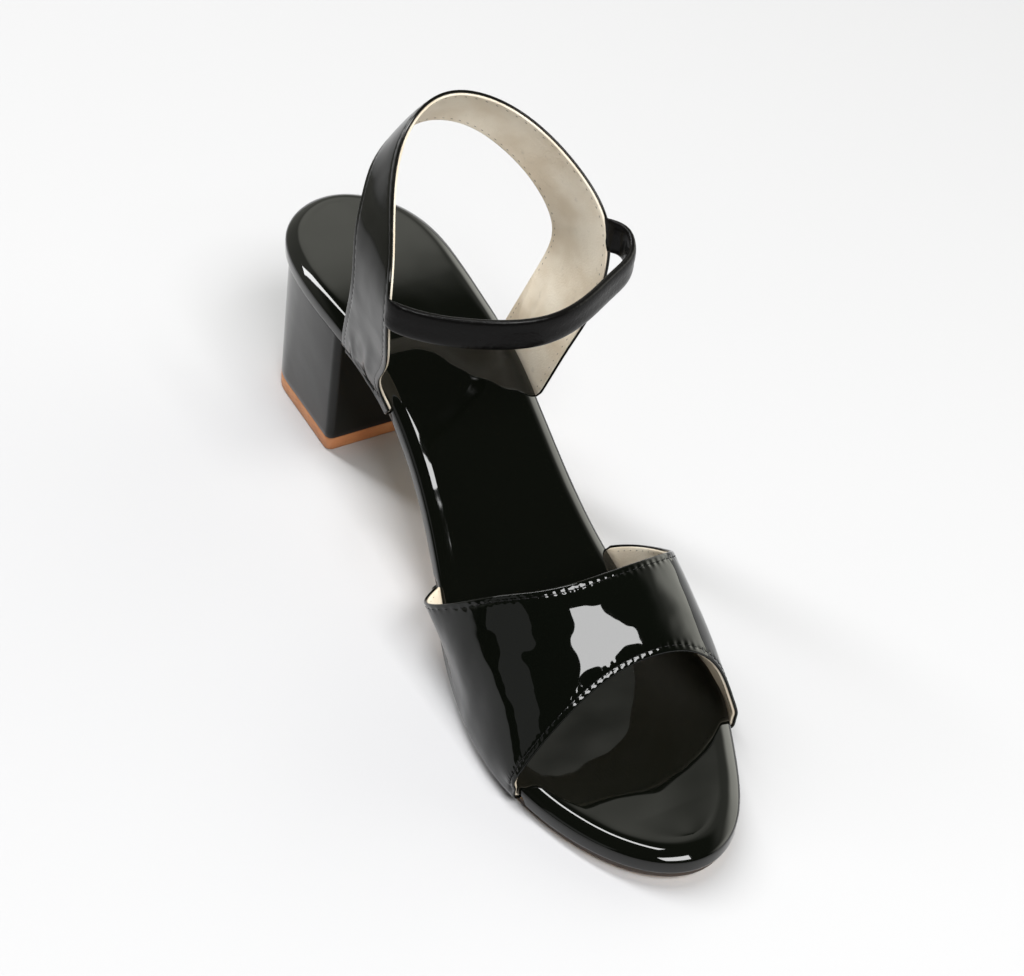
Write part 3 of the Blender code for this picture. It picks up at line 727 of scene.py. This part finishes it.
# %% Build the heel block and its top piece
heel_corner_radius, heel_side_taper, top_piece_thickness = 0.0025, 0.0036, 0.0055
heel_top_rounding, heel_floor_rounding = 0.0270, 0.0150
heel_overhang, heel_columns = 0.0015, 12
heel_top_half = float(outline_point(side_angle("outer", np.array([0.18])))[0, 0]) - heel_overhang


def heel_ring(share, inset=0.0):
    """Plan of the heel at a share of its height: a rounded back as a power of sine and cosine, straight
    sides, quarter-round front corners and a flat breast, all moved inwards by inset."""
    half = heel_top_half - heel_side_taper * (1 - share) - inset
    length = heel_floor_length + (heel_top_length - heel_floor_length) * share - 2 * inset
    rear = heel_floor_length / 2 + heel_back_rake * share - inset
    rounding = heel_floor_rounding + (heel_top_rounding - heel_floor_rounding) * share
    sweep = np.linspace(0, 1, 61) ** 0.9 * math.pi / 2
    x, y = half * np.sin(sweep) ** 0.85, rear - rounding * (1 - np.cos(sweep).clip(0) ** 0.85)
    side = np.linspace(y[-1], rear - length + heel_corner_radius, 21)[1:]
    corner = np.linspace(0, math.pi / 2, 9)[1:]
    x = np.concatenate([x, 0 * side + half, half - heel_corner_radius * (1 - np.cos(corner))])
    y = np.concatenate([y, side, rear - length + heel_corner_radius * (1 - np.sin(corner))])
    across = np.linspace(x[-1], -x[-1], heel_columns + 1)[1:-1]
    return np.stack([np.concatenate([x, across, -x[:0:-1]]),
                     np.concatenate([y, 0 * across + rear - length, y[:0:-1]])], axis=-1)


def seat_plan():
    """Plan of the heel's top: the footbed's outline less the overhang, corners and a straight breast."""
    breast = heel_floor_length / 2 + heel_back_rake - heel_top_length
    corner_station = (heel_back - breast - heel_corner_radius) / footbed_length
    sweep = np.linspace(0, float(side_angle("outer", corner_station)), 81)
    corner = np.linspace(0, math.pi / 2, 9)[1:]
    halves = []
    for angle, sign in ((sweep, 1), (2 * math.pi - sweep, -1)):
        side = outline_point(angle) + outline_inward(angle) * heel_overhang
        turn = np.stack([side[-1, 0] - sign * heel_corner_radius * (1 - np.cos(corner)),
                         breast + heel_corner_radius * (1 - np.sin(corner))], axis=-1)
        halves.append(np.concatenate([side, turn]))
    across = np.linspace(halves[0][-1], halves[1][-1], heel_columns + 1)[1:-1]
    return np.concatenate([halves[0], across, halves[1][:0:-1]])


def at_height(plan, height):
    """Plan points lifted to one height."""
    return np.column_stack([plan, np.full(len(plan), height)])


seat_ring = place(seat_plan(), footbed_thickness + gap)
block_floor = top_piece_thickness + 0.0001
foot_ring = at_height(heel_ring(block_floor / seat_height), block_floor)
block_rings = [at_height(heel_ring(block_floor / seat_height, 0.0005), block_floor),
               at_height(heel_ring(block_floor / seat_height, 0.00015), block_floor + 0.00015),
               at_height(heel_ring(block_floor / seat_height), block_floor + 0.0005)]
block_rings += [foot_ring + (seat_ring - foot_ring) * share for share in np.linspace(0.05, 1, 24)]
heel_block = stacked("heel_cover", block_rings, heel_columns, heel_columns, 0)
heel_block.data.materials.append(heel_patent)
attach(heel_block, "root")
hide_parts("heel_block")

piece_levels = [(0.0, 0.0006), (0.0002, 0.0002), (0.0006, 0.0), (0.0025, 0.0), (0.0050, 0.0),
                (top_piece_thickness - 0.0001, 0.0001), (top_piece_thickness, 0.0004)]
piece_rings = [at_height(heel_ring(level / seat_height, inset), level) for level, inset in piece_levels]
top_piece = stacked("heel_top_sheet", piece_rings, heel_columns, heel_columns, 0)
top_piece.data.materials.append(tan_top_piece)
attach(top_piece, "root")
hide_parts("heel_top_piece")

# %% [markdown]
# ## A strap's middle surface
#
# Both straps start under the footbed, turn round its lower edge, climb its side, cross the foot and go back
# down. Between the two edges of that path the surface is ruled. The crossing is a spline through a short
# table of edge points, and rows are then spaced evenly along it, so that stitches can be counted off.

# %% Strap surface
VAMP = np.array([  # rear edge across, station, rise; front edge across, station, rise
    (-0.875, 0.572, 0.330, -0.955, 0.823, 0.035), (-0.860, 0.628, 0.610, -0.870, 0.820, 0.165),
    (-0.675, 0.665, 0.812, -0.675, 0.814, 0.353), (-0.390, 0.698, 0.941, -0.365, 0.805, 0.541),
    (0.000, 0.711, 1.000, 0.000, 0.802, 0.659), (0.390, 0.709, 0.976, 0.390, 0.810, 0.659),
    (0.675, 0.696, 0.870, 0.655, 0.822, 0.470), (0.835, 0.659, 0.635, 0.795, 0.834, 0.200),
    (0.870, 0.605, 0.380, 0.865, 0.842, 0.020)])
ANKLE = np.array([  # front edge across, station, rise; rear edge across, station, rise
    (-0.620, 0.354, -0.120, -0.667, 0.264, -0.078), (-0.773, 0.397, 0.142, -0.827, 0.312, 0.258),
    (-0.893, 0.426, 0.400, -0.880, 0.333, 0.497), (-0.920, 0.430, 0.587, -0.827, 0.318, 0.626),
    (-0.800, 0.397, 0.690, -0.693, 0.291, 0.703), (-0.533, 0.322, 0.858, -0.493, 0.260, 0.755),
    (-0.240, 0.283, 0.968, -0.213, 0.236, 0.794), (0.080, 0.270, 1.000, 0.053, 0.229, 0.806),
    (0.453, 0.287, 0.955, 0.320, 0.244, 0.787), (0.775, 0.331, 0.845, 0.570, 0.269, 0.710),
    (0.990, 0.388, 0.690, 0.773, 0.306, 0.594), (1.020, 0.421, 0.555, 0.907, 0.326, 0.439),
    (0.970, 0.430, 0.310, 0.910, 0.318, 0.258), (0.805, 0.417, 0.026, 0.775, 0.308, 0.052)])
vamp_rise, ankle_half_width, ankle_rise = 0.0425, 0.0365, 0.0763
shares_across = np.linspace(0, 1, 41)


def table_points(table, half_width, base, rise):
    """World points of across, station and rise shares."""
    return np.stack([table[:, 0] * half_width, heel_back - table[:, 1] * footbed_length,
                     base + table[:, 2] * rise], axis=-1)


def chord_knots(rows):
    """Knots of a spline through rows: running sum of the square roots of the chords."""
    middle = rows[:, rows.shape[1] // 2] if rows.ndim == 3 else rows
    return np.concatenate([[0], np.cumsum(np.linalg.norm(np.diff(middle, axis=0), axis=1) ** 0.5)])


def wrap_rows(side, seats, shares):
    """Rows of a strap's end: tuck, quarter-round under the edge, and the start of the side."""
    rear, front = seats[side]
    angle = side_angle(side, rear + (front - rear) * shares)
    sweep = np.linspace(math.pi / 2, 0, 9)
    radius = under_radius + gap
    insets = np.concatenate([np.linspace(tuck_length, under_radius + 0.0008, 5),
                             under_radius - radius * np.cos(sweep), [-gap]])
    depths = np.concatenate([np.full(5, edge_thickness + gap),
                             edge_thickness - under_radius + radius * np.sin(sweep), [rim_radius * 0.6]])
    return np.stack([edge_ring(angle, inset + 0 * angle, depth) for inset, depth in zip(insets, depths)])


def strap_surface(first_edge, second_edge, seats, swap, camber, step):
    """Middle surface of a strap: rows of points across it, their outward normals, the distance along it,
    and which rows are free of the footbed."""
    seat_shares = 1 - shares_across if swap else shares_across
    inner = wrap_rows("inner", seats, seat_shares)
    outer = wrap_rows("outer", seats, seat_shares)[::-1]
    free = first_edge[:, None] + (second_edge - first_edge)[:, None] * shares_across[:, None]
    control = np.concatenate([inner[-2:], free, outer[:2]])
    knots = chord_knots(control)
    trial = spline(knots, control, np.linspace(knots[1], knots[-2], 900))
    length = np.linalg.norm(np.diff(trial.mean(axis=1), axis=0), axis=-1).cumsum()
    length = np.concatenate([[0], length])
    count = int(length[-1] / step)
    at = np.interp(np.linspace(0, length[-1], count), length, np.linspace(knots[1], knots[-2], 900))
    crossing = spline(knots, control, at)
    reach = int(0.006 / step)
    fade = np.clip(np.minimum(np.arange(count), np.arange(count)[::-1]) / (2 * reach), 0, 1)
    crossing = crossing + (soften(crossing, reach) - crossing) * fade[:, None, None]
    rows = np.concatenate([inner[:-1], crossing, outer[1:]])
    normal = np.cross(np.gradient(rows, axis=0), np.gradient(rows, axis=1))
    normal /= np.linalg.norm(normal, axis=-1, keepdims=True)
    mid, across = len(rows) // 2, len(shares_across) // 2
    away = rows[mid, across] - (rows[0].mean(axis=0) + rows[-1].mean(axis=0)) / 2
    normal = normal if normal[mid, across] @ away > 0 else -normal
    along = np.concatenate([[0], np.linalg.norm(np.diff(rows.mean(axis=1), axis=0), axis=-1).cumsum()])
    share = np.linspace(0, 1, len(rows))
    bulge = camber * np.sin(math.pi * share)[:, None] ** 2 * 4 * shares_across * (1 - shares_across)
    rows = rows + normal * bulge[..., None]
    free_rows = slice(len(inner) - 1, len(rows) - len(outer) + 1)
    print("strap of", round(along[-1] * 1000), "mm in", len(rows), "rows")
    return rows, normal, along, free_rows


def on_surface(surface, share):
    """Points and normals at shares across each row, by straight steps between the columns."""
    rows, normal = surface[0], surface[1]
    spot = np.clip(share, 0, 1) * (len(shares_across) - 1)
    low = np.clip(spot.astype(int), 0, len(shares_across) - 2)
    part = (spot - low)[..., None]
    row = np.arange(len(rows))[:, None]
    point = rows[row, low] * (1 - part) + rows[row, low + 1] * part
    turned = normal[row, low] * (1 - part) + normal[row, low + 1] * part
    return point, turned / np.linalg.norm(turned, axis=-1, keepdims=True)


# %% [markdown]
# ## Skin, lining and thread of a strap
#
# A folded strap has a patent skin that turns round both edges, and a lining whose cut edge shows as a thin
# cream line. The machine's thread pulls the skin down at every stitch, which leaves a row of small beads
# along the edge. The sections below give distances from the strap's edges in metres, so that folded edges
# and stitch lines keep their size where the strap grows wider.

# %% Sections and stitches
lining_thickness = 0.0007
stitch_margin = 0.0018


def skin_section():
    """Closed section of the skin: share across, distance from that edge, height, and 1 on the outside."""
    low, high = lining_thickness + 0.00002, strap_thickness
    radius = (high - low) / 2
    sweep = np.linspace(-math.pi / 2, math.pi / 2, 11)
    edge = radius * (1 - np.cos(sweep))
    flat = np.array([0.0006, 0.0009, 0.0012, 0.0014, 0.0016, 0.0018, 0.0020, 0.0022, 0.0024, 0.0027,
                     0.0032, 0.0040, 0.0050])
    middle = np.linspace(0, 1, 18)[1:-1]
    margin = np.concatenate([edge, flat, 0.005 * (1 - 2 * middle), -flat[::-1], -edge[::-1]])
    share = np.concatenate([0 * edge, 0 * flat, middle, 0 * flat + 1, 0 * edge + 1])
    height = np.concatenate([(low + high) / 2 + radius * np.sin(sweep), 0 * flat + high,
                             0 * middle + high, 0 * flat + high,
                             ((low + high) / 2 + radius * np.sin(sweep))[::-1]])
    back = np.linspace(1, 0, 12)[1:-1]
    outside = np.concatenate([0 * edge, 0 * flat + 1, 0 * middle + 1, 0 * flat + 1, 0 * edge, 0 * back])
    margin = np.concatenate([margin, radius * (1 - 2 * back)])
    return (np.concatenate([share, back]), margin, np.concatenate([height, 0 * back + low]), outside)


def lining_section(margin_edge):
    """Closed section of the lining: a flat band with slightly broken corners."""
    low, high = 0.0, lining_thickness
    middle = np.linspace(0, 1, 40)
    inside_margin = (margin_edge + 0.0002) * (1 - 2 * middle)
    share = np.concatenate([middle, [1, 1], middle[::-1], [0, 0]])
    margin = np.concatenate([inside_margin, [-margin_edge, -margin_edge], inside_margin[::-1],
                             [margin_edge, margin_edge]])
    height = np.concatenate([0 * middle + low, [low + 0.0001, high - 0.00005], 0 * middle + high,
                             [high - 0.00005, low + 0.0001]])
    return share, margin, height


def carry_section(surface, share, margin, height):
    """Rows of a section on a strap: share plus margin over width gives the place across, and height moves
    it along the normal."""
    rows = surface[0]
    width = np.linalg.norm(np.diff(rows, axis=1), axis=-1).sum(axis=1)[:, None]
    point, normal = on_surface(surface, share + margin / width)
    return point + normal * np.broadcast_to(height, point.shape[:2])[..., None]


def pucker(surface, section, pitch, groove, bead):
    """Heights of a sewn skin: a groove along each stitch line, exp(-(d / 0.7 mm)^2) deep, with a dimple at
    every stitch and a swell between, cos(2 pi along / pitch)."""
    share, margin, height, outside = section
    rows, along, free_rows = surface[0], surface[2], surface[3]
    width = np.linalg.norm(np.diff(rows, axis=1), axis=-1).sum(axis=1)[:, None]
    place_across = share * width + margin
    off_line = np.minimum(place_across, width - place_across) - stitch_margin
    free = np.zeros(len(along))
    free[free_rows] = 1
    free = soften(free, 6)
    line = np.exp(-(off_line / 0.0005) ** 2) * outside
    puff = np.exp(-(off_line / 0.0010) ** 2) * outside
    beat = np.cos(2 * math.pi * along / pitch)
    sunk = -groove * line - bead * puff * beat[:, None]
    return height + sunk * free[:, None]


def creases(surface, section, table):
    """Soft ridges at listed places on a strap, as heights in metres. A row of the table is a place (share of
    the free length and share across), a lean from the strap's run in degrees, a length, a width and a
    height in mm: height * exp(-(u / length)^2 - (v / width)^2), u along the ridge and v across it."""
    share, margin = section[0], section[1]
    rows, along, free_rows = surface[0], surface[2], surface[3]
    width = np.linalg.norm(np.diff(rows, axis=1), axis=-1).sum(axis=1)[:, None]
    run = along[free_rows]
    heights = 0
    for place_along, place_across, lean, length, breadth, rise_mm in table:
        du = along[:, None] - (run[0] + place_along * (run[-1] - run[0]))
        dv = share * width + margin - place_across * width
        turn = math.radians(lean)
        u = du * math.cos(turn) + dv * math.sin(turn)
        v = dv * math.cos(turn) - du * math.sin(turn)
        ridge = np.exp(-(u / (length * 0.001)) ** 2 - (v / (breadth * 0.001)) ** 2)
        heights = heights + rise_mm * 0.001 * ridge
    return heights


def stitches(name, surfaces_margins, pitch, length, radius, level, material):
    """One mesh of short threads: a stretched ball for every stitch, laid along the strap at a margin from
    an edge and a level on its normal."""
    turn_a, turn_b = np.meshgrid(np.linspace(0, math.pi, 6)[1:-1],
                                 np.linspace(0, 2 * math.pi, 8, endpoint=False), indexing="ij")
    rings = np.stack([-np.cos(turn_a) * length / 2, np.sin(turn_a) * np.cos(turn_b) * radius,
                      np.sin(turn_a) * np.sin(turn_b) * radius], axis=-1).reshape(-1, 3)
    ball = np.concatenate([rings, [[-length / 2, 0, 0], [length / 2, 0, 0]]])
    centres, frames = [], []
    for surface, share, margin in surfaces_margins:
        rows, along, free_rows = surface[0], surface[2], surface[3]
        width = np.linalg.norm(np.diff(rows, axis=1), axis=-1).sum(axis=1)[:, None]
        point, normal = on_surface(surface, share + margin / width)
        point, normal, along = point[free_rows, 0], normal[free_rows, 0], along[free_rows]
        spots = (np.arange(math.ceil(along[0] / pitch) + 1, math.floor(along[-1] / pitch)) + 0.5) * pitch
        spot_point = np.stack([np.interp(spots, along, column) for column in point.T], axis=1)
        spot_normal = np.stack([np.interp(spots, along, column) for column in normal.T], axis=1)
        run = np.stack([np.interp(spots, along, column) for column in np.gradient(point, axis=0).T], axis=1)
        run /= np.linalg.norm(run, axis=1, keepdims=True)
        centres.append(spot_point + spot_normal * level)
        frames.append(np.stack([run, np.cross(spot_normal, run), spot_normal], axis=1))
    centres, frames = np.concatenate(centres), np.concatenate(frames)
    points = centres[:, None] + np.einsum("ak,nkc->nac", ball, frames)
    start = np.arange(len(centres))[:, None, None] * len(ball)
    numbers = np.arange(len(rings)).reshape(turn_a.shape)
    nearby = np.roll(numbers, -1, axis=1)
    quads = np.stack([numbers[:-1], nearby[:-1], nearby[1:], numbers[1:]], axis=-1).reshape(-1, 4)
    tips = np.concatenate([np.stack([nearby[0], numbers[0], 0 * numbers[0] + len(rings)], axis=1),
                           np.stack([numbers[-1], nearby[-1], 0 * numbers[-1] + len(rings) + 1], axis=1)])
    piece = make_piece(name, points, quads + start, tips + start)
    piece.data.materials.append(material)
    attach(piece, "root")
    return face_outwards(piece)


# %% [markdown]
# ## Front strap
#
# The wide front strap is cut so that its rear edge sweeps forward over the toes' base. Its crest carries the
# brightest reflection of the shoe, and the thread along both edges is pulled tight enough to bead the skin.

# %% Build the front strap
vamp_surface = strap_surface(
    table_points(VAMP[:, 0:3], ball_half_width, tread_top, vamp_rise),
    table_points(VAMP[:, 3:6], ball_half_width, tread_top, vamp_rise), VAMP_SEATS, False, 0.0012, 0.00045)
vamp_pitch = 0.0022
skin = skin_section()
vamp_height = pucker(vamp_surface, skin, vamp_pitch, 0.00015, 0.00009)
vamp_skin = carried("vamp_skin", carry_section(vamp_surface, skin[0], skin[1], vamp_height))
vamp_skin.data.materials.append(vamp_patent)
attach(vamp_skin, "root")
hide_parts("vamp_strap")

lining = lining_section(0.00065)
vamp_lining = carried("vamp_lining", carry_section(vamp_surface, *lining))
vamp_lining.data.materials.append(beige_lining)
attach(vamp_lining, "root")

vamp_lines = [(vamp_surface, 0.0, stitch_margin), (vamp_surface, 1.0, -stitch_margin)]
stitches("vamp_stitches", vamp_lines, vamp_pitch, 0.0016, 0.00020, strap_thickness - 0.00014, black_thread)
stitches("vamp_lining_stitches", vamp_lines, vamp_pitch, 0.0008, 0.00010, 0.0, seam_thread)

# %% [markdown]
# ## Back strap
#
# The back strap rises from both sides of the seat, leans forward where it has been sewn to the instep strap,
# and goes round behind the ankle. The lining shows almost everywhere, so its stitches matter here.

# %% Build the back strap
ankle_front = table_points(ANKLE[:, 0:3], ankle_half_width, seat_height, ankle_rise)
ankle_rear = table_points(ANKLE[:, 3:6], ankle_half_width, seat_height, ankle_rise)
ankle_surface = strap_surface(ankle_front, ankle_rear, ANKLE_SEATS, True, 0.0006, 0.00055)
ankle_pitch = 0.0028
SKIN_CREASES = np.array([  # along, across, lean, length, width, height
    (0.035, 0.62, 18, 9.0, 1.5, 0.62), (0.070, 0.30, 8, 11.0, 1.8, 0.50), (0.020, 0.42, 40, 6.0, 1.2, -0.42),
    (0.085, 0.70, -12, 8.0, 1.7, -0.30), (0.955, 0.55, -20, 9.0, 1.6, 0.25), (0.975, 0.35, 25, 7.0, 1.4, 0.20)])
LINING_CREASES = np.array([
    (0.925, 0.64, -7, 11.0, 1.3, 0.75), (0.935, 0.84, -12, 11.0, 1.2, 0.70), (0.860, 0.42, 6, 9.0, 1.8, 0.20),
    (0.045, 0.50, 10, 9.0, 1.5, 0.40), (0.760, 0.62, 75, 6.0, 1.6, 0.18), (0.660, 0.30, 80, 5.0, 1.5, 0.14)])
ankle_height = pucker(ankle_surface, skin, ankle_pitch, 0.00008, 0.00002)
ankle_height = ankle_height + creases(ankle_surface, skin, SKIN_CREASES) * skin[3]
ankle_skin = carried("back_strap_skin", carry_section(ankle_surface, skin[0], skin[1], ankle_height))
ankle_skin.data.materials.append(back_strap_patent)
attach(ankle_skin, "root")
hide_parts("ankle_straps")

lining = lining_section(0.00045)
lining_height = lining[2] - creases(ankle_surface, lining, LINING_CREASES) * (lining[2] < 0.0002)
ankle_lining = carried("back_strap_lining", carry_section(ankle_surface, lining[0], lining[1], lining_height))
ankle_lining.data.materials.append(beige_lining)
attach(ankle_lining, "root")

ankle_lines = [(ankle_surface, 0.0, stitch_margin), (ankle_surface, 1.0, -stitch_margin)]
stitches("back_strap_stitches", ankle_lines, ankle_pitch, 0.0018, 0.00012, strap_thickness - 0.00010,
         black_thread)
stitches("back_strap_lining_stitches", ankle_lines, ankle_pitch, 0.0008, 0.00010, 0.0, seam_thread)

# %% [markdown]
# ## Instep strap
#
# The instep strap is a narrow band folded round a filler, so it is thick for its width and its section is a
# flattened round. Each end is sewn in between the back strap's skin and lining.

# %% Build the instep strap
INSTEP = np.array([  # across, station, rise in the back strap's shares
    (-0.740, 0.461, 0.490), (-0.370, 0.500, 0.495), (0.041, 0.523, 0.508), (0.425, 0.514, 0.520),
    (0.767, 0.490, 0.530), (1.010, 0.470, 0.535), (1.100, 0.452, 0.547), (1.103, 0.434, 0.565)])
instep_width, instep_thickness, instep_lap = 0.0100, 0.0028, 0.0035
lap_rows = (2.55, 10.92)


def lap_points(row):
    """Two points of a lap, deep between the back strap's layers and at its front edge, and the upward
    direction of that edge."""
    knots = chord_knots(ankle_front)
    at = np.interp([row, row + 0.1], np.arange(len(ankle_front)), knots)
    edge, above = spline(knots, ankle_front, at)
    behind = spline(knots, ankle_rear, at)[0]
    inward = (behind - edge) / np.linalg.norm(behind - edge)
    rising = (above - edge) * math.copysign(1, above[2] - edge[2])
    middle = np.array([math.copysign(1, edge[0]), 0, 0]) * strap_thickness / 2
    points = np.stack([edge + inward * instep_lap + middle, edge + inward * gap + middle])
    return points, rising / np.linalg.norm(rising)


inner_lap, inner_edge = lap_points(lap_rows[0])
outer_lap, outer_edge = lap_points(lap_rows[1])
crossing_points = table_points(INSTEP, ankle_half_width, seat_height, ankle_rise)
control = np.concatenate([inner_lap, crossing_points, outer_lap[::-1]])
instep_knots = chord_knots(control)
instep_path = soften(spline(instep_knots, control, np.linspace(0, instep_knots[-1], 260)), 8)
tangent = np.gradient(instep_path, axis=0)
tangent /= np.linalg.norm(tangent, axis=1, keepdims=True)
travel = np.linspace(0, 1, len(instep_path))[:, None]
near_inner, near_outer = (np.clip(1 - part / 0.22, 0, 1) ** 2 * (3 - 2 * np.clip(1 - part / 0.22, 0, 1))
                          for part in (travel, 1 - travel))
upright = (np.array([0, 0, 1.0]) * (1 - near_inner - near_outer) + inner_edge * near_inner
           + outer_edge * near_outer)
upright -= tangent * (upright * tangent).sum(axis=1, keepdims=True)
upright /= np.linalg.norm(upright, axis=1, keepdims=True)
sideways = np.cross(tangent, upright)
lap_share = np.clip((np.minimum(travel, 1 - travel) - 0.022) / 0.06, 0, 1)
thick = 0.0005 + (instep_thickness - 0.0005) * lap_share
around = np.linspace(0, 2 * math.pi, 49)[:-1]
wide = np.sign(np.cos(around)) * np.abs(np.cos(around)) ** 0.6 * instep_width / 2
deep = np.sign(np.sin(around)) * np.abs(np.sin(around)) ** 0.8 / 2
groove = 0.00012 * np.exp(-(wide / 0.0005) ** 2) * lap_share
instep_rows = (instep_path[:, None] + upright[:, None] * wide[:, None]
               + sideways[:, None] * (deep * thick - np.sign(deep) * groove)[..., None])
instep = carried("instep_strap", instep_rows)
instep.data.materials.append(satin_black)
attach(instep, "root")
